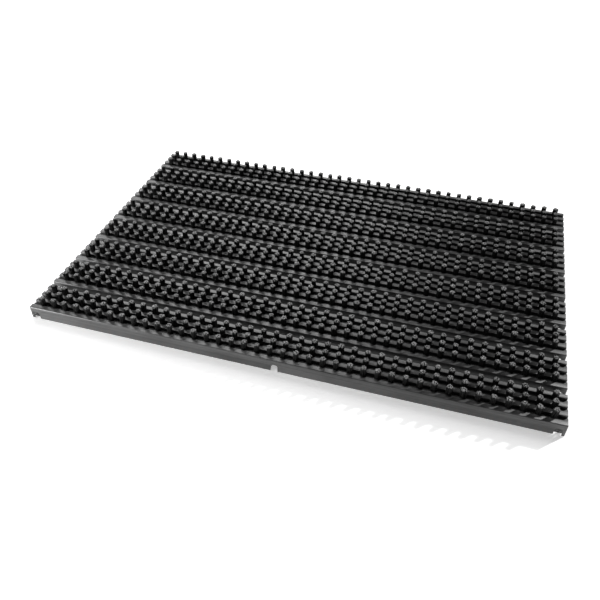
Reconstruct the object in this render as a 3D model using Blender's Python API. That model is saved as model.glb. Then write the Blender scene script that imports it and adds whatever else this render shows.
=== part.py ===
"""Roll-up brush door mat: linked profile strips, brush bars, bristle tufts and hinge links."""
import math

import bmesh
import bpy
from mathutils import Vector

# Overall layout, metres
MAT_LENGTH = 0.602
STRIP_COUNT = 8
STRIP_GAP = 0.0075
DECK_HEIGHT = 0.0160
TUFT_REACH = 0.0110

# Profile section
SKIRT_WALL = 0.0018
FRONT_BEVEL = 0.0006
REAR_BEVEL_DEPTH = 0.0008
REAR_BEVEL_DROP = 0.0010
DECK_THICKNESS = 0.0065
SLOT_DEPTH = 0.0055
LIP_THICKNESS = 0.0032
LIP_REACH = 0.00105

# Brush rows
ROW_COUNT = 3
FIRST_ROW = 0.0094
ROW_PITCH = 0.0119
REAR_MARGIN = 0.0088
TUFT_PITCH = 0.01475
TUFT_END_ROOM = 0.0100
TUFT_SIDE = 0.0055
BAR_OVERHANG = 0.0008
BAR_NECK = 0.0005
BAR_CLEARANCE = 0.0003

# Hinge channel and pins
HINGE_DEPTH = 0.0047
HINGE_BELOW_MIDDLE = 0.00015
PIN_RADIUS = 0.0015
PIN_CLEARANCE = 0.0006
PIN_REACH = 0.0070
PIN_SEGMENTS = 8
BORE_WALL = 0.0011
BORE_MOUTH = 0.0016
BORE_SEGMENTS = 6

# Arches in the skirts and the links through them
ARCH_WIDTH = 0.0080
ARCH_END_WALL = 0.0028
ARCH_ROOF = 0.0012
ARCH_FLAT = 0.0032
ARCH_SEGMENTS = 3
CUT_OVERSHOOT = 0.0010
ARM_WIDTH = 0.0026
ARM_HEIGHT = 0.0024
ARM_INSET = 0.0011
EYE_RADIUS = 0.0023
PLUG_CLEARANCE = 0.0003
PLUG_FOOT = 0.0008
WAIST_ROOM = 0.0015
FLANGE_LAP = 0.0022
FLANGE_ROOM = 0.0015
FLANGE_THICKNESS = 0.0016
JOIN_DEPTH = 0.0004

# Sizes that follow from the ones above
DECK_UNDERSIDE = DECK_HEIGHT - DECK_THICKNESS
HINGE_HEIGHT = DECK_UNDERSIDE / 2 - HINGE_BELOW_MIDDLE
SLOT_FLOOR = DECK_HEIGHT - SLOT_DEPTH
SLOT_MOUTH = TUFT_SIDE + 2 * BAR_CLEARANCE
SLOT_WIDTH = SLOT_MOUTH + 2 * LIP_REACH
TUFT_TOP_HEIGHT = DECK_HEIGHT + TUFT_REACH
TUFTS_PER_ROW = int((MAT_LENGTH - 2 * TUFT_END_ROOM) / TUFT_PITCH) + 1
BORE_RADIUS = PIN_RADIUS + PIN_CLEARANCE
ARCH_OFFSET = MAT_LENGTH / 2 - ARCH_END_WALL - ARCH_WIDTH / 2
ARCH_HEIGHT = SLOT_FLOOR - ARCH_ROOF
ARCH_RADIUS = (ARCH_WIDTH - ARCH_FLAT) / 2
FLANGE_WIDTH = ARCH_WIDTH + 2 * FLANGE_LAP
FLANGE_TOP = DECK_UNDERSIDE - FLANGE_ROOM
PLUG_WAIST_TOP = ARCH_HEIGHT - ARCH_RADIUS - WAIST_ROOM
STRIP_DEPTH = FIRST_ROW + (ROW_COUNT - 1) * ROW_PITCH + REAR_MARGIN
STRIP_PITCH = STRIP_DEPTH + STRIP_GAP
MAT_DEPTH = (STRIP_COUNT - 1) * STRIP_PITCH + STRIP_DEPTH
FRONT_EDGE = -MAT_DEPTH / 2
ARCH_STATIONS = (-ARCH_OFFSET, 0.0, ARCH_OFFSET)


def clear_scene():
    for obj in list(bpy.data.objects):
        bpy.data.objects.remove(obj, do_unlink=True)
    for mesh in list(bpy.data.meshes):
        bpy.data.meshes.remove(mesh)
    for material in list(bpy.data.materials):
        bpy.data.materials.remove(material)


def make_material(name, colour, roughness, metallic=0.0):
    material = bpy.data.materials.new(name)
    material.use_nodes = True
    shader = material.node_tree.nodes["Principled BSDF"]
    shader.inputs["Base Color"].default_value = (*colour, 1.0)
    shader.inputs["Roughness"].default_value = roughness
    shader.inputs["Metallic"].default_value = metallic
    return material


def add_object(name, verts, faces, origin, material):
    mesh = bpy.data.meshes.new(name)
    origin = Vector(origin)
    mesh.from_pydata([Vector(v) - origin for v in verts], [], faces)
    solid = bmesh.new()
    solid.from_mesh(mesh)
    bmesh.ops.recalc_face_normals(solid, faces=solid.faces)
    solid.to_mesh(mesh)
    solid.free()
    obj = bpy.data.objects.new(name, mesh)
    obj.location = origin
    bpy.context.collection.objects.link(obj)
    if material is not None:
        mesh.materials.append(material)
    return obj


def extrude_x(section, x_low, x_high):
    """Prism along X of a (y, z) outline listed anticlockwise seen from +X."""
    count = len(section)
    verts = [(x_low, y, z) for y, z in section]
    verts += [(x_high, y, z) for y, z in section]
    faces = [tuple(range(count - 1, -1, -1)), tuple(range(count, 2 * count))]
    for i in range(count):
        j = (i + 1) % count
        faces.append((i, j, count + j, count + i))
    return verts, faces


def extrude_y(section, y_low, y_high):
    """Prism along Y of an (x, z) outline listed anticlockwise seen from -Y."""
    count = len(section)
    verts = [(x, y_low, z) for x, z in section]
    verts += [(x, y_high, z) for x, z in section]
    faces = [tuple(range(count)), tuple(range(2 * count - 1, count - 1, -1))]
    for i in range(count):
        j = (i + 1) % count
        faces.append((j, i, count + i, count + j))
    return verts, faces


def box(x_low, x_high, y_low, y_high, z_low, z_high):
    section = [(y_low, z_low), (y_high, z_low), (y_high, z_high), (y_low, z_high)]
    return extrude_x(section, x_low, x_high)


def merge(shapes):
    verts = []
    faces = []
    for shape_verts, shape_faces in shapes:
        start = len(verts)
        verts.extend(shape_verts)
        for face in shape_faces:
            faces.append(tuple(start + i for i in face))
    return verts, faces


def add_boolean(obj, other, operation):
    modifier = obj.modifiers.new(operation.lower(), "BOOLEAN")
    modifier.object = other
    modifier.operation = operation
    modifier.solver = "EXACT"
    other.hide_render = True
    other.display_type = "WIRE"


def row_centres():
    return [FIRST_ROW + row * ROW_PITCH for row in range(ROW_COUNT)]


def bore_points():
    """Hinge bore from the right side of its mouth, over the top, to the left side."""
    half_mouth = math.asin(BORE_MOUTH / 2 / BORE_RADIUS)
    start = -math.pi / 2 + half_mouth
    sweep = 2 * math.pi - 2 * half_mouth
    points = []
    for i in range(BORE_SEGMENTS + 1):
        angle = start + sweep * i / BORE_SEGMENTS
        y = HINGE_DEPTH + BORE_RADIUS * math.cos(angle)
        z = HINGE_HEIGHT + BORE_RADIUS * math.sin(angle)
        points.append((y, z))
    return points


def profile_section():
    """Outline of one strip from its front edge, anticlockwise seen from +X."""
    block_foot = HINGE_HEIGHT - BORE_RADIUS - BORE_WALL
    block_rear = HINGE_DEPTH + BORE_RADIUS + BORE_WALL
    section = [(SKIRT_WALL, 0.0), (SKIRT_WALL, block_foot)]
    section.append((HINGE_DEPTH - BORE_MOUTH / 2, block_foot))
    section.extend(reversed(bore_points()))
    section.append((HINGE_DEPTH + BORE_MOUTH / 2, block_foot))
    section.append((block_rear, block_foot))
    section.append((block_rear, DECK_UNDERSIDE))
    section.append((STRIP_DEPTH - SKIRT_WALL, DECK_UNDERSIDE))
    section.append((STRIP_DEPTH - SKIRT_WALL, 0.0))
    section.append((STRIP_DEPTH, 0.0))
    section.append((STRIP_DEPTH, DECK_HEIGHT - REAR_BEVEL_DROP))
    section.append((STRIP_DEPTH - REAR_BEVEL_DEPTH, DECK_HEIGHT))
    for centre in reversed(row_centres()):
        for side in (1, -1):
            corners = [
                (centre + side * SLOT_MOUTH / 2, DECK_HEIGHT),
                (centre + side * SLOT_MOUTH / 2, DECK_HEIGHT - LIP_THICKNESS),
                (centre + side * SLOT_WIDTH / 2, DECK_HEIGHT - LIP_THICKNESS),
                (centre + side * SLOT_WIDTH / 2, SLOT_FLOOR),
            ]
            section.extend(corners if side == 1 else reversed(corners))
    section.append((FRONT_BEVEL, DECK_HEIGHT))
    section.append((0.0, DECK_HEIGHT - FRONT_BEVEL))
    section.append((0.0, 0.0))
    return section


def arch_outline(station):
    """Arch in (x, z) round one station, anticlockwise seen from -Y."""
    half = ARCH_WIDTH / 2
    outline = [(station - half, -CUT_OVERSHOOT), (station + half, -CUT_OVERSHOOT)]
    for side in (1, -1):
        for i in range(ARCH_SEGMENTS + 1):
            angle = math.pi / 2 * i / ARCH_SEGMENTS
            if side == -1:
                angle = math.pi / 2 - angle
            x = station + side * (half - ARCH_RADIUS + ARCH_RADIUS * math.cos(angle))
            z = ARCH_HEIGHT - ARCH_RADIUS + ARCH_RADIUS * math.sin(angle)
            outline.append((x, z))
    return outline


def strip_front(strip):
    return FRONT_EDGE + strip * STRIP_PITCH


def strip_origin(strip):
    """Hinge axis of a strip; the first strip, which is the root, uses the mat's origin."""
    if strip == 0:
        return (0.0, 0.0, 0.0)
    return (0.0, strip_front(strip) + HINGE_DEPTH, HINGE_HEIGHT)


def build_profile(strip, material):
    front = strip_front(strip)
    rear = front + STRIP_DEPTH
    section = [(front + y, z) for y, z in profile_section()]
    verts, faces = extrude_x(section, -MAT_LENGTH / 2, MAT_LENGTH / 2)
    name = f"profile_{strip + 1}"
    profile = add_object(name, verts, faces, strip_origin(strip), material)
    shapes = []
    for station in ARCH_STATIONS:
        outline = arch_outline(station)
        shapes.append(extrude_y(outline, front - CUT_OVERSHOOT, rear + CUT_OVERSHOOT))
    cut_verts, cut_faces = merge(shapes)
    cutter = add_object(f"cut_arches_{strip + 1}", cut_verts, cut_faces, strip_origin(strip), None)
    add_boolean(profile, cutter, "DIFFERENCE")


def comb_outline():
    """Neck and tufts of one brush in (x, z), from the left foot over the tufts to the right foot."""
    reach = MAT_LENGTH / 2 + BAR_OVERHANG
    ledge = DECK_HEIGHT - LIP_THICKNESS - BAR_CLEARANCE
    top = ledge + BAR_NECK
    first = -(TUFTS_PER_ROW - 1) / 2 * TUFT_PITCH
    outline = [(-reach, ledge), (-reach, top)]
    for i in range(TUFTS_PER_ROW):
        left = first + i * TUFT_PITCH - TUFT_SIDE / 2
        right = left + TUFT_SIDE
        outline.extend([(left, top), (left, TUFT_TOP_HEIGHT), (right, TUFT_TOP_HEIGHT), (right, top)])
    outline.extend([(reach, top), (reach, ledge)])
    return outline


def build_brush(strip, row, material):
    """Backing bar with a T foot in its slot and one row of tufts, as one body."""
    centre = strip_front(strip) + row_centres()[row]
    foot_half = SLOT_WIDTH / 2 - BAR_CLEARANCE
    foot_low = SLOT_FLOOR + BAR_CLEARANCE
    outline = comb_outline()
    count = len(outline)
    reach = outline[-1][0]
    ledge = outline[-1][1]
    verts = [(x, centre - TUFT_SIDE / 2, z) for x, z in outline]
    verts += [(x, centre + TUFT_SIDE / 2, z) for x, z in outline]
    for x in (-reach, reach):
        for y in (centre - foot_half, centre + foot_half):
            verts += [(x, y, foot_low), (x, y, ledge)]
    foot = 2 * count
    faces = [tuple(range(count)), tuple(range(2 * count - 1, count - 1, -1))]
    for i in range(1, count - 2):
        faces.append((i, i + 1, count + i + 1, count + i))
    for end, base, bar_top in ((foot, 0, 1), (foot + 4, count - 1, count - 2)):
        neck = (base + count, bar_top + count, bar_top, base)
        faces.append((end, end + 2, end + 3, *neck, end + 1))
    faces.append((foot, foot + 4, foot + 6, foot + 2))
    faces.append((foot, foot + 1, foot + 5, foot + 4))
    faces.append((foot + 2, foot + 3, foot + 7, foot + 6))
    faces.append((foot + 1, 0, count - 1, foot + 5))
    faces.append((foot + 3, count, 2 * count - 1, foot + 7))
    name = f"brush_{strip + 1}{'abc'[row]}"
    add_object(name, verts, faces, strip_origin(strip), material)


def disc_x(y, z, radius, x_low, x_high):
    points = []
    for i in range(PIN_SEGMENTS):
        angle = 2 * math.pi * (i + 0.5) / PIN_SEGMENTS
        points.append((y + radius * math.cos(angle), z + radius * math.sin(angle)))
    return extrude_x(points, x_low, x_high)


def link_shapes(strip, station):
    """Plug in the strip's rear arch, arm and pin for the strip behind it."""
    rear = strip_front(strip) + STRIP_DEPTH
    inner = rear - SKIRT_WALL - PLUG_CLEARANCE
    outer = rear + PLUG_CLEARANCE
    waist = ARCH_WIDTH / 2 - PLUG_CLEARANCE
    flange = FLANGE_WIDTH / 2
    axis_y = strip_front(strip + 1) + HINGE_DEPTH
    side = 1 if station < 0 else -1
    arm_near = side * (ARCH_WIDTH / 2 - ARM_INSET - ARM_WIDTH)
    arm_far = side * (ARCH_WIDTH / 2 - ARM_INSET)
    pin_end = side * (ARCH_WIDTH / 2 + PIN_REACH)
    arm_x = sorted((station + arm_near, station + arm_far))
    pin_x = sorted((station + (arm_near + arm_far) / 2, station + pin_end))
    arm_low = HINGE_HEIGHT - ARM_HEIGHT / 2
    return [
        box(station - flange, station + flange, inner - FLANGE_THICKNESS, inner, PLUG_FOOT, FLANGE_TOP),
        box(station - flange, station + flange, outer, outer + FLANGE_THICKNESS, PLUG_FOOT, FLANGE_TOP),
        box(station - waist, station + waist, inner - JOIN_DEPTH, outer + JOIN_DEPTH, PLUG_FOOT, PLUG_WAIST_TOP),
        box(*arm_x, outer + JOIN_DEPTH, axis_y, arm_low, arm_low + ARM_HEIGHT),
        disc_x(axis_y, HINGE_HEIGHT, EYE_RADIUS, *arm_x),
        disc_x(axis_y, HINGE_HEIGHT, PIN_RADIUS, *pin_x),
    ]


def build_link(strip, side_name, station, material):
    origin = strip_origin(strip)
    name = f"link_{strip + 1}_{side_name}"
    shapes = link_shapes(strip, station)
    link = add_object(name, *shapes[0], origin, material)
    for index, shape in enumerate(shapes[1:]):
        piece = add_object(f"join_{strip + 1}_{side_name}_{index}", *shape, origin, None)
        add_boolean(link, piece, "UNION")


def build_mat():
    clear_scene()
    profile_material = make_material("profile_pvc", (0.10, 0.10, 0.10), 0.45)
    brush_material = make_material("brush_pp", (0.045, 0.045, 0.045), 0.60)
    link_material = make_material("link_nylon", (0.07, 0.07, 0.07), 0.50)
    for strip in range(STRIP_COUNT):
        build_profile(strip, profile_material)
        for row in range(ROW_COUNT):
            build_brush(strip, row, brush_material)
        if strip < STRIP_COUNT - 1:
            for side_name, station in zip(("left", "middle", "right"), ARCH_STATIONS):
                build_link(strip, side_name, station, link_material)


build_mat()
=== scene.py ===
import math
import random

import bmesh
import bpy
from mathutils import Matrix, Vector


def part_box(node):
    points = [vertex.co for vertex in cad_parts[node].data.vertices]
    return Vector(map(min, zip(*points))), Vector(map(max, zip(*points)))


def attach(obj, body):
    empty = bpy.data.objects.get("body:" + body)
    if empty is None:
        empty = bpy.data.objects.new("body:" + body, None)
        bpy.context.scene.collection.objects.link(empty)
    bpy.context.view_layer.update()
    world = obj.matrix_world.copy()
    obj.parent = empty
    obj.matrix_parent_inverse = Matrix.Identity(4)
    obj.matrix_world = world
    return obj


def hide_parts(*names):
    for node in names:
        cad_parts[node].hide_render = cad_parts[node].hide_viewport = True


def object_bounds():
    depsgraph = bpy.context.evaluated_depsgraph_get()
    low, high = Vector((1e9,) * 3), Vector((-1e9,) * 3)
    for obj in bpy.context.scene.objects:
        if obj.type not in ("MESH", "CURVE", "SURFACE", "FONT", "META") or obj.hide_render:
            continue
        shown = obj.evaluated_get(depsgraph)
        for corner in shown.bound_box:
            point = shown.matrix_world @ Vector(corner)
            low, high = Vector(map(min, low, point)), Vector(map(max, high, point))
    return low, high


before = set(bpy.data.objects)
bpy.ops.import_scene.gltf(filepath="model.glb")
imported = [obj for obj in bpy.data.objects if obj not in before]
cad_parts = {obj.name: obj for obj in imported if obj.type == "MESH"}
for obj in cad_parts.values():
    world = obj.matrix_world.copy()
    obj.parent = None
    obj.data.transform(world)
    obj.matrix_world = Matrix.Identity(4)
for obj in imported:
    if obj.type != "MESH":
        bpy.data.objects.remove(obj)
cadBox = [[float(value) for value in corner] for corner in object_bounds()]

stripNumbers = range(1, 9)
rowLetters = "abc"
linkSides = ("left", "middle", "right")

edgeSegments = 2
sharpAngle = math.radians(30)
smoothAngle = math.radians(35)
filamentSmoothAngle = math.radians(80)
mergeDistance = 0.00001
flatAngle = math.radians(1)


def dropSelection():
    if bpy.context.object and bpy.context.object.mode == "EDIT":
        bpy.ops.object.mode_set(mode="OBJECT")
    bpy.ops.object.select_all(action="DESELECT")


def pickOnly(piece):
    dropSelection()
    piece.select_set(True)
    bpy.context.view_layer.objects.active = piece


def applyPlace(piece):
    pickOnly(piece)
    bpy.ops.object.transform_apply(location=True, rotation=True, scale=True)


def applyModifiers(piece):
    pickOnly(piece)
    for modifier in list(piece.modifiers):
        bpy.ops.object.modifier_apply(modifier=modifier.name)


def roundEdges(piece, width):
    bevel = piece.modifiers.new("roundEdges", "BEVEL")
    bevel.width = width
    bevel.segments = edgeSegments
    bevel.limit_method = "ANGLE"
    bevel.angle_limit = sharpAngle
    applyModifiers(piece)
    bpy.ops.object.shade_smooth_by_angle(angle=smoothAngle)


def giveMaterial(piece, material):
    piece.data.materials.clear()
    piece.data.materials.append(material)


def softenedCopy(nodeName, pieceName, roundWidth, material):
    # the CAD solid as one clean skin, with its sharp edges broken
    pickOnly(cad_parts[nodeName])
    bpy.ops.object.duplicate()
    piece = bpy.context.object
    piece.name = pieceName
    piece.data.name = pieceName
    bpy.ops.object.mode_set(mode="EDIT")
    bpy.ops.mesh.select_all(action="SELECT")
    bpy.ops.mesh.remove_doubles(threshold=mergeDistance)
    bpy.ops.mesh.dissolve_limited(angle_limit=flatAngle)
    bpy.ops.object.mode_set(mode="OBJECT")
    roundEdges(piece, roundWidth)
    giveMaterial(piece, material)
    return piece


def newGroup(name, inputs, outputs):
    group = bpy.data.node_groups.new(name, "ShaderNodeTree")
    for label, value in inputs:
        socket = group.interface.new_socket(label, in_out="INPUT", socket_type="NodeSocketFloat")
        socket.default_value = value
    for label in outputs:
        group.interface.new_socket(label, in_out="OUTPUT", socket_type="NodeSocketFloat")
    group.nodes.new("NodeGroupInput")
    group.nodes.new("NodeGroupOutput")
    return group


def addNode(tree, kind, **settings):
    node = tree.nodes.new(kind)
    for label, value in settings.items():
        setattr(node, label, value)
    return node


def addNoise(tree, coords, scale, detail):
    noise = addNode(tree, "ShaderNodeTexNoise")
    noise.inputs["Scale"].default_value = scale
    noise.inputs["Detail"].default_value = detail
    tree.links.new(coords, noise.inputs["Vector"])
    return noise.outputs["Fac"]


def stretchCoords(tree, coords, stretch):
    mapping = addNode(tree, "ShaderNodeMapping")
    mapping.inputs["Scale"].default_value = stretch
    tree.links.new(coords, mapping.inputs["Vector"])
    return mapping.outputs["Vector"]


def remap(tree, value, low, high, newLow, newHigh):
    node = addNode(tree, "ShaderNodeMapRange")
    node.inputs["From Min"].default_value = low
    node.inputs["From Max"].default_value = high
    node.inputs["To Min"].default_value = newLow
    node.inputs["To Max"].default_value = newHigh
    tree.links.new(value, node.inputs["Value"])
    return node.outputs["Result"]


def combine(tree, operation, first, second):
    node = addNode(tree, "ShaderNodeMath", operation=operation)
    for index, value in enumerate((first, second)):
        if isinstance(value, (int, float)):
            node.inputs[index].default_value = value
        else:
            tree.links.new(value, node.inputs[index])
    return node.outputs["Value"]


def makeGrainGroup():
    # moulded-plastic grain: a fine pebble and a coarser unevenness
    group = newGroup("plasticGrain", [("Size", 2600.0), ("Coarse", 0.35)], ["Height"])
    start = group.nodes["Group Input"]
    coords = addNode(group, "ShaderNodeTexCoord").outputs["Object"]
    fine = addNode(group, "ShaderNodeTexNoise")
    fine.inputs["Detail"].default_value = 2.0
    group.links.new(coords, fine.inputs["Vector"])
    group.links.new(start.outputs["Size"], fine.inputs["Scale"])
    broad = addNoise(group, coords, 240.0, 3.0)
    weighted = combine(group, "MULTIPLY", broad, start.outputs["Coarse"])
    height = combine(group, "ADD", fine.outputs["Fac"], weighted)
    group.links.new(height, group.nodes["Group Output"].inputs["Height"])
    return group


def makeDrawLineGroup():
    # faint lines that run the length of an extruded strip
    group = newGroup("drawLines", [("Contrast", 1.0)], ["Lines"])
    start = group.nodes["Group Input"]
    coords = addNode(group, "ShaderNodeTexCoord").outputs["Object"]
    long = stretchCoords(group, coords, (6.0, 1500.0, 1500.0))
    lines = addNoise(group, long, 1.0, 3.0)
    centred = combine(group, "SUBTRACT", lines, 0.5)
    scaled = combine(group, "MULTIPLY", centred, start.outputs["Contrast"])
    group.links.new(scaled, group.nodes["Group Output"].inputs["Lines"])
    return group


def makeDustGroup():
    # pale dust that settles on faces looking up, in drifts
    group = newGroup("settledDust", [("Amount", 0.3)], ["Mask"])
    start = group.nodes["Group Input"]
    coords = addNode(group, "ShaderNodeTexCoord").outputs["Object"]
    normal = addNode(group, "ShaderNodeNewGeometry").outputs["Normal"]
    split = addNode(group, "ShaderNodeSeparateXYZ")
    group.links.new(normal, split.inputs["Vector"])
    facing = remap(group, split.outputs["Z"], 0.2, 1.0, 0.15, 1.0)
    drift = remap(group, addNoise(group, coords, 38.0, 4.0), 0.35, 0.7, 0.1, 1.0)
    specks = remap(group, addNoise(group, coords, 900.0, 2.0), 0.45, 0.7, 0.3, 1.0)
    mask = combine(group, "MULTIPLY", facing, drift)
    mask = combine(group, "MULTIPLY", mask, specks)
    mask = combine(group, "MULTIPLY", mask, start.outputs["Amount"])
    group.links.new(mask, group.nodes["Group Output"].inputs["Mask"])
    return group


def placeGroup(tree, group, **values):
    node = addNode(tree, "ShaderNodeGroup", node_tree=group)
    for label, value in values.items():
        node.inputs[label].default_value = value
    return node


def mixColour(tree, mask, first, second):
    node = addNode(tree, "ShaderNodeMix", data_type="RGBA")
    for label, value in (("A", first), ("B", second)):
        socket = next(s for s in node.inputs if s.name == label and s.type == "RGBA")
        if isinstance(value, tuple):
            socket.default_value = (*value, 1.0)
        else:
            tree.links.new(value, socket)
    tree.links.new(mask, node.inputs["Factor"])
    return next(s for s in node.outputs if s.type == "RGBA")


def startMaterial(name):
    material = bpy.data.materials.new(name)
    material.use_nodes = True
    return material, material.node_tree, material.node_tree.nodes["Principled BSDF"]


def addGrain(tree, finish):
    grain = placeGroup(tree, grainGroup, Size=finish["grainSize"], Coarse=finish["grainCoarse"])
    return grain.outputs["Height"]


def addBump(tree, shader, height, finish):
    bump = addNode(tree, "ShaderNodeBump")
    bump.inputs["Strength"].default_value = finish["bumpStrength"]
    bump.inputs["Distance"].default_value = finish["bumpDepth"]
    tree.links.new(height, bump.inputs["Height"])
    tree.links.new(bump.outputs["Normal"], shader.inputs["Normal"])


grainGroup = makeGrainGroup()
drawLineGroup = makeDrawLineGroup()
dustGroup = makeDustGroup()


profileFinish = {
    "dark": (0.038, 0.038, 0.038),
    "light": (0.076, 0.076, 0.076),
    "dust": (0.40, 0.40, 0.40),
    "dustAmount": 0.10,
    "roughness": (0.30, 0.44),
    "specular": 0.55,
    "cloudScale": 22.0,
    "grainSize": 2600.0,
    "grainCoarse": 0.35,
    "lineHeight": 1.6,
    "bumpStrength": 0.35,
    "bumpDepth": 0.00012,
}


def makeProfilePlastic():
    material, tree, shader = startMaterial("satinProfilePlastic")
    coords = addNode(tree, "ShaderNodeTexCoord").outputs["Object"]
    lines = placeGroup(tree, drawLineGroup, Contrast=1.0).outputs["Lines"]
    grain = addGrain(tree, profileFinish)
    dust = placeGroup(tree, dustGroup, Amount=profileFinish["dustAmount"]).outputs["Mask"]
    cloudy = addNoise(tree, coords, profileFinish["cloudScale"], 4.0)
    tone = combine(tree, "ADD", cloudy, lines)
    tone = remap(tree, tone, 0.3, 0.8, 0.0, 1.0)
    plastic = mixColour(tree, tone, profileFinish["dark"], profileFinish["light"])
    colour = mixColour(tree, dust, plastic, profileFinish["dust"])
    tree.links.new(colour, shader.inputs["Base Color"])
    rough = remap(tree, combine(tree, "ADD", tone, dust), 0.0, 1.2, *profileFinish["roughness"])
    tree.links.new(rough, shader.inputs["Roughness"])
    shader.inputs["Specular IOR Level"].default_value = profileFinish["specular"]
    raised = combine(tree, "MULTIPLY", lines, profileFinish["lineHeight"])
    addBump(tree, shader, combine(tree, "ADD", grain, raised), profileFinish)
    return material


barFinish = {
    "dark": (0.002, 0.002, 0.002),
    "light": (0.005, 0.005, 0.005),
    "dust": (0.20, 0.20, 0.20),
    "dustAmount": 0.03,
    "roughness": 0.60,
    "cloudScale": 60.0,
    "grainSize": 2100.0,
    "grainCoarse": 0.6,
    "bumpStrength": 0.4,
    "bumpDepth": 0.00015,
}


def makeBarPlastic():
    material, tree, shader = startMaterial("blackBarPlastic")
    coords = addNode(tree, "ShaderNodeTexCoord").outputs["Object"]
    grain = addGrain(tree, barFinish)
    dust = placeGroup(tree, dustGroup, Amount=barFinish["dustAmount"]).outputs["Mask"]
    cloudy = addNoise(tree, coords, barFinish["cloudScale"], 3.0)
    plastic = mixColour(tree, cloudy, barFinish["dark"], barFinish["light"])
    colour = mixColour(tree, dust, plastic, barFinish["dust"])
    tree.links.new(colour, shader.inputs["Base Color"])
    shader.inputs["Roughness"].default_value = barFinish["roughness"]
    addBump(tree, shader, grain, barFinish)
    return material


bristleFinish = {
    "dark": (0.001, 0.001, 0.001),
    "light": (0.007, 0.007, 0.007),
    # pale colour of the filament ends: partly the cut ends' own lighter colour, partly a painted
    # highlight standing in for the key light on the tuft tops
    "tipAndPaintedHighlight": (0.40, 0.40, 0.40),
    "tipDepth": 0.0018,
    "roughness": (0.45, 0.50),
    "specular": 0.30,
    "filamentScale": 1300.0,
    "filamentStretch": (1.0, 1.0, 0.05),
    "grainSize": 3600.0,
    "grainCoarse": 0.2,
    "bumpStrength": 0.3,
    "bumpDepth": 0.0001,
}


def makeBristle():
    material, tree, shader = startMaterial("bristleFilament")
    coords = addNode(tree, "ShaderNodeTexCoord").outputs["Object"]
    across = stretchCoords(tree, coords, bristleFinish["filamentStretch"])
    spread = addNoise(tree, across, bristleFinish["filamentScale"], 1.0)
    single = remap(tree, spread, 0.3, 0.7, 0.0, 1.0)
    shaft = mixColour(tree, single, bristleFinish["dark"], bristleFinish["light"])
    split = addNode(tree, "ShaderNodeSeparateXYZ")
    tree.links.new(coords, split.inputs["Vector"])
    tuftTop = cadBox[1][2]
    # painted highlight: the top tipDepth of every filament is made pale, partly the cut ends' own colour
    # and partly painted light for the lit tuft tops
    tipAndPaintedHighlight = remap(tree, split.outputs["Z"], tuftTop - bristleFinish["tipDepth"], tuftTop, 0.0, 1.0)
    colour = mixColour(tree, tipAndPaintedHighlight, shaft, bristleFinish["tipAndPaintedHighlight"])
    tree.links.new(colour, shader.inputs["Base Color"])
    rough = remap(tree, tipAndPaintedHighlight, 0.0, 1.0, *bristleFinish["roughness"])
    tree.links.new(rough, shader.inputs["Roughness"])
    shader.inputs["Specular IOR Level"].default_value = bristleFinish["specular"]
    addBump(tree, shader, addGrain(tree, bristleFinish), bristleFinish)
    return material


linkFinish = {
    "dark": (0.020, 0.020, 0.020),
    "light": (0.045, 0.045, 0.045),
    "roughness": 0.42,
    "cloudScale": 120.0,
    "grainSize": 3000.0,
    "grainCoarse": 0.5,
    "bumpStrength": 0.35,
    "bumpDepth": 0.0001,
}


def makeLinkPlastic():
    material, tree, shader = startMaterial("mouldedLinkPlastic")
    coords = addNode(tree, "ShaderNodeTexCoord").outputs["Object"]
    cloudy = addNoise(tree, coords, linkFinish["cloudScale"], 3.0)
    colour = mixColour(tree, cloudy, linkFinish["dark"], linkFinish["light"])
    tree.links.new(colour, shader.inputs["Base Color"])
    shader.inputs["Roughness"].default_value = linkFinish["roughness"]
    addBump(tree, shader, addGrain(tree, linkFinish), linkFinish)
    return material


profilePlastic = makeProfilePlastic()
barPlastic = makeBarPlastic()
bristleMaterial = makeBristle()
linkPlastic = makeLinkPlastic()
print("materials ready")


profileShape = {"edgeRound": 0.00028}
linkShape = {"edgeRound": 0.00018}


def makeStrips():
    for number in stripNumbers:
        node = f"profile_{number}"
        piece = softenedCopy(node, f"stripShell_{number}", profileShape["edgeRound"], profilePlastic)
        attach(piece, f"strip_{number}")
        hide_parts(node)


def makeLinks():
    for number in stripNumbers[:-1]:
        for side in linkSides:
            node = f"link_{number}_{side}"
            piece = softenedCopy(node, f"hingeLink_{number}_{side}", linkShape["edgeRound"], linkPlastic)
            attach(piece, f"strip_{number}")
            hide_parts(node)


endPlugShape = {
    "inset": 0.0068,
    "width": 0.0080,
    "foot": 0.0036,
    "top": 0.0093,
    "recess": 0.0003,
    "depth": 0.0012,
    "ringRadius": 0.0018,
    "ringThickness": 0.0005,
    "ringHeight": 0.0058,
}


def makeEndPlugs():
    # the moulded stop in each end arch of the front skirt, with a round collar on its face
    low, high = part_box("profile_1")
    face = low.y + endPlugShape["recess"]
    middleZ = (endPlugShape["foot"] + endPlugShape["top"]) / 2
    for side, word in ((-1, "left"), (1, "right")):
        centreX = side * (high.x - endPlugShape["inset"])
        dropSelection()
        bpy.ops.mesh.primitive_torus_add(
            major_radius=endPlugShape["ringRadius"],
            minor_radius=endPlugShape["ringThickness"],
            major_segments=32,
            minor_segments=12,
            location=(centreX, face, endPlugShape["ringHeight"]),
            rotation=(math.radians(90), 0, 0),
        )
        collar = bpy.context.object
        bpy.ops.mesh.primitive_cube_add(
            size=1,
            location=(centreX, face + endPlugShape["depth"] / 2, middleZ),
        )
        plug = bpy.context.object
        plug.name = f"archPlug_{word}"
        height = endPlugShape["top"] - endPlugShape["foot"]
        plug.scale = (endPlugShape["width"], endPlugShape["depth"], height)
        applyPlace(plug)
        applyPlace(collar)
        pickOnly(plug)
        collar.select_set(True)
        bpy.ops.object.join()
        bpy.ops.object.shade_smooth_by_angle(angle=smoothAngle)
        plug.data.name = plug.name
        giveMaterial(plug, linkPlastic)
        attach(plug, "strip_1")


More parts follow.
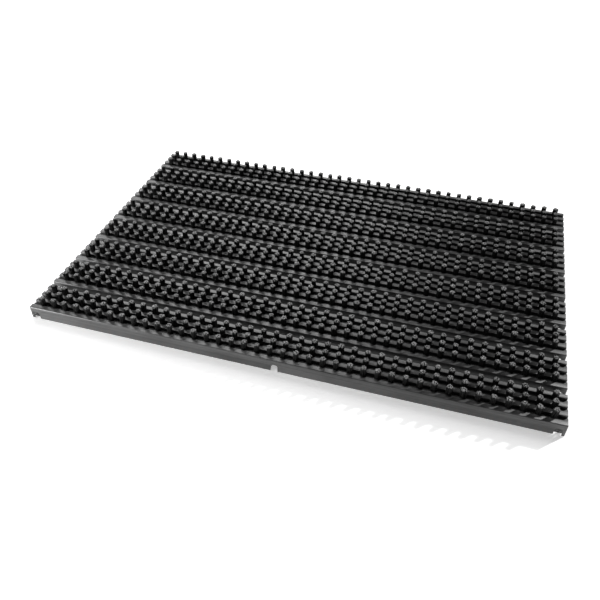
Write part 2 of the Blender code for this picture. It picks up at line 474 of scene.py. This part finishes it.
makeStrips()
print("strips shaped")
makeLinks()
makeEndPlugs()
print("links and plugs shaped")


barShape = {
    "footWidth": 0.0076,
    "neckWidth": 0.0055,
    "footDepth": 0.0017,
    "neckDepth": 0.0005,
    "edgeRound": 0.00022,
}


def makeBar(node, pieceName):
    low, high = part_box(node)
    middle = (low + high) / 2
    half = (high.x - low.x) / 2
    footTop = low.z + barShape["footDepth"]
    dropSelection()
    bpy.ops.mesh.primitive_cube_add(size=1, location=(0, middle.y, low.z + barShape["footDepth"] / 2))
    piece = bpy.context.object
    piece.name = pieceName
    piece.scale = (2 * half, barShape["footWidth"], barShape["footDepth"])
    applyPlace(piece)
    bpy.ops.object.mode_set(mode="EDIT")
    for side in (-1, 1):
        bpy.ops.mesh.select_all(action="SELECT")
        seam = (0, middle.y + side * barShape["neckWidth"] / 2, 0)
        bpy.ops.mesh.bisect(plane_co=seam, plane_no=(0, 1, 0))
    skin = bmesh.from_edit_mesh(piece.data)
    bpy.ops.mesh.select_mode(type="FACE")
    bpy.ops.mesh.select_all(action="DESELECT")
    for face in skin.faces:
        centre = face.calc_center_median()
        onTop = face.normal.z > 0.9
        face.select_set(onTop and abs(centre.y - middle.y) < barShape["neckWidth"] / 4)
    bmesh.update_edit_mesh(piece.data)
    rise = {"value": (0, 0, barShape["neckDepth"])}
    bpy.ops.mesh.extrude_region_move(TRANSFORM_OT_translate=rise)
    bpy.ops.object.mode_set(mode="OBJECT")
    roundEdges(piece, barShape["edgeRound"])
    giveMaterial(piece, barPlastic)
    return piece, footTop + barShape["neckDepth"]


tuftShape = {
    "perRow": 40,
    "pitch": 0.01475,
    "kinds": 16,
    "kindSeed": 500,
    "rowSeed": 1000,
    "filaments": 44,
    "filamentSides": 5,
    "filamentRadius": 0.00047,
    "footRadius": 0.0027,
    "topRadius": 0.0034,
    "clumps": 6,
    "clumpPull": 0.30,
    "lean": 0.0005,
    "lengthSpread": 0.0008,
    "rimDrop": 0.0012,
    "sink": 0.0004,
    "turnSpread": 0.25,
    "reachSpread": (0.85, 1.12),
    "radiusSpread": (0.85, 1.1),
    "clumpReach": (0.45, 0.95),
    "pullSpread": (0.6, 1.2),
    "swell": (0.92, 1.08),
    "trim": (0.97, 1.0),
}


def tuftSpots(count):
    # an even spread of filaments over a disc, as fractions of its radius
    turn = math.pi * (3 - math.sqrt(5))
    return [(math.sqrt((i + 0.5) / count), i * turn) for i in range(count)]


def clumpSpots(draw):
    # the loose bundles that a worn-in tuft parts into
    turn = draw.uniform(0, 2 * math.pi)
    spread = tuftShape["turnSpread"]
    spots = []
    for i in range(tuftShape["clumps"]):
        angle = turn + (i + draw.uniform(-spread, spread)) * 2 * math.pi / tuftShape["clumps"]
        reach = tuftShape["topRadius"] * draw.uniform(*tuftShape["clumpReach"])
        spots.append(Vector((math.cos(angle), math.sin(angle), 0)) * reach)
    return spots


def makeTuftKind(index, height):
    draw = random.Random(tuftShape["kindSeed"] + index)
    spread = tuftShape["turnSpread"]
    dropSelection()
    started = False
    lean = Vector((draw.uniform(-1, 1), draw.uniform(-1, 1), 0)) * tuftShape["lean"]
    clumps = clumpSpots(draw)
    for reach, angle in tuftSpots(tuftShape["filaments"]):
        angle += draw.uniform(-spread, spread)
        ray = Vector((math.cos(angle), math.sin(angle), 0)) * reach
        foot = ray * tuftShape["footRadius"]
        top = ray * tuftShape["topRadius"] * draw.uniform(*tuftShape["reachSpread"])
        nearest = min(clumps, key=lambda spot: (spot - top).length)
        pull = tuftShape["clumpPull"] * draw.uniform(*tuftShape["pullSpread"])
        top = top.lerp(nearest, pull) + lean
        drop = draw.random() * tuftShape["lengthSpread"] + reach**2 * tuftShape["rimDrop"]
        top.z = height - drop
        shaft = top - foot
        bpy.ops.mesh.primitive_cylinder_add(
            vertices=tuftShape["filamentSides"],
            radius=tuftShape["filamentRadius"] * draw.uniform(*tuftShape["radiusSpread"]),
            depth=shaft.length,
            location=(foot + top) / 2,
            rotation=shaft.to_track_quat("Z", "Y").to_euler(),
        )
        if not started:
            bpy.ops.object.mode_set(mode="EDIT")
            started = True
    bpy.ops.object.mode_set(mode="OBJECT")
    kind = bpy.context.object
    kind.name = f"tuftKind_{index}"
    applyPlace(kind)
    return kind


def makeBristleRow(pieceName, kinds, centreY, footZ, seed):
    draw = random.Random(seed)
    first = -(tuftShape["perRow"] - 1) / 2 * tuftShape["pitch"]
    tufts = []
    for i in range(tuftShape["perRow"]):
        kind = draw.choice(kinds)
        tuft = kind.copy()
        tuft.data = kind.data.copy()
        tuft.location = (first + i * tuftShape["pitch"], centreY, footZ)
        tuft.rotation_euler = (0, 0, draw.uniform(0, 2 * math.pi))
        swell = draw.uniform(*tuftShape["swell"])
        tuft.scale = (swell, swell, draw.uniform(*tuftShape["trim"]))
        bpy.context.collection.objects.link(tuft)
        tufts.append(tuft)
    dropSelection()
    for tuft in tufts:
        tuft.select_set(True)
    bpy.context.view_layer.objects.active = tufts[0]
    bpy.ops.object.transform_apply(location=True, rotation=True, scale=True)
    bpy.ops.object.join()
    row = bpy.context.object
    row.name = pieceName
    row.data.name = pieceName
    bpy.ops.object.shade_smooth_by_angle(angle=filamentSmoothAngle)
    giveMaterial(row, bristleMaterial)
    return row


def makeBrushes():
    kinds = []
    tuftTop = cadBox[1][2]
    for number in stripNumbers:
        for letter in rowLetters:
            node = f"brush_{number}{letter}"
            low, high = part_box(node)
            bar, barTop = makeBar(node, f"backingBar_{number}{letter}")
            footZ = barTop - tuftShape["sink"]
            if not kinds:
                kinds = [makeTuftKind(i, tuftTop - footZ) for i in range(tuftShape["kinds"])]
            seed = tuftShape["rowSeed"] + number * 10 + rowLetters.index(letter)
            centreY = (low.y + high.y) / 2
            row = makeBristleRow(f"bristleRow_{number}{letter}", kinds, centreY, footZ, seed)
            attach(bar, f"strip_{number}")
            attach(row, f"strip_{number}")
            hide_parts(node)
        print("brushes of strip", number)
    for kind in kinds:
        bpy.data.objects.remove(kind, do_unlink=True)


makeBrushes()


floorFinish = {"colour": (0.90, 0.90, 0.90), "glow": 0.42, "size": 8.0}


def makeFloor():
    dropSelection()
    bpy.ops.mesh.primitive_plane_add(size=floorFinish["size"], location=(0, 0, -0.0002))
    floor = bpy.context.object
    floor.name = "paleFloor"
    material, tree, shader = startMaterial("paleFloor")
    shader.inputs["Base Color"].default_value = (*floorFinish["colour"], 1.0)
    shader.inputs["Roughness"].default_value = 0.9
    shader.inputs["Specular IOR Level"].default_value = 0.1
    shader.inputs["Emission Color"].default_value = (1.0, 1.0, 1.0, 1.0)
    shader.inputs["Emission Strength"].default_value = floorFinish["glow"]
    giveMaterial(floor, material)


def aimAt(light, target):
    toward = Vector(target) - light.location
    light.rotation_euler = toward.to_track_quat("-Z", "Y").to_euler()


def addLight(kind, name, place, target, power, size):
    dropSelection()
    bpy.ops.object.light_add(type=kind, location=place)
    light = bpy.context.object
    light.name = name
    light.data.energy = power
    if kind == "SUN":
        light.data.angle = size
    else:
        light.data.size = size
    aimAt(light, target)
    return light


lightSetup = {
    "lowKey": {"kind": "SUN", "place": (2.0, 2.0, 1.27), "power": 4.4, "size": math.radians(3.5)},
    "backWall": {"kind": "AREA", "place": (-0.95, 1.5, 1.45), "power": 60.0, "size": 2.2},
    "leftFill": {"kind": "AREA", "place": (-0.95, -0.62, 0.14), "power": 15.5, "size": 0.35},
}


roomGlow = 0.045


def makeLights():
    for name, light in lightSetup.items():
        addLight(light["kind"], name, light["place"], (0, 0, 0), light["power"], light["size"])
    world = bpy.data.worlds.new("paleRoom")
    world.use_nodes = True
    background = world.node_tree.nodes["Background"]
    background.inputs["Color"].default_value = (1.0, 1.0, 1.0, 1.0)
    background.inputs["Strength"].default_value = roomGlow
    bpy.context.scene.world = world


cameraSetup = {
    "lens": 38.23,
    "place": (0.1609, -0.6373, 0.5130),
    "tilt": (48.909, -0.134, 16.651),
}


def makeCamera():
    dropSelection()
    bpy.ops.object.camera_add(location=cameraSetup["place"])
    camera = bpy.context.object
    camera.name = "matCamera"
    camera.rotation_euler = [math.radians(angle) for angle in cameraSetup["tilt"]]
    camera.data.lens = cameraSetup["lens"]
    camera.data.clip_start = 0.02
    bpy.context.scene.camera = camera
    bpy.context.scene.view_settings.view_transform = "Standard"


makeFloor()
makeLights()
makeCamera()
print("floor, lights and camera set")
